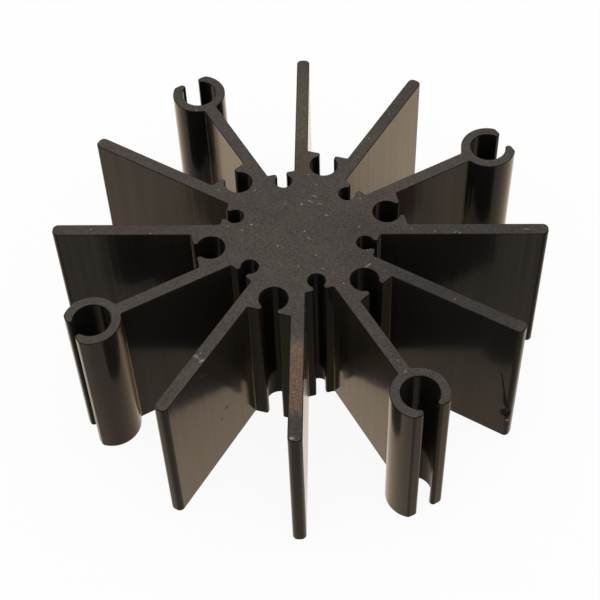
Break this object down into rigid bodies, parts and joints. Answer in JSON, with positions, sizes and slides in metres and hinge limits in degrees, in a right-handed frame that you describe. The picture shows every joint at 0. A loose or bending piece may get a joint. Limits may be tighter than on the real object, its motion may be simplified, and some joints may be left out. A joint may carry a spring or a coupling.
{
  "type": "round heat sink",
  "caption": "Round extruded aluminium heat sink: a solid hub with radial fins, open screw channels between the fin roots and C-shaped screw bosses at the ends of some fins.",
  "frame": {"origin": "centre of the lower sawn end, on the extrusion's axis", "axes": "+Z along the extrusion, up from the end it stands on to the end a device is mounted on; +X and +Y each point through the middle of a gap between two plain fins, +X over a small screw channel and +Y over a large one"},
  "size_m": [0.0504, 0.0504, 0.0187],
  "materials": {
    "anodised_aluminium": "black anodised extrusion, satin sides with fine die lines, dull grey-brown sawn ends"
  },
  "bodies": {
    "root": {"heat_sink": "anodised_aluminium"}
  },
  "joints": []
}
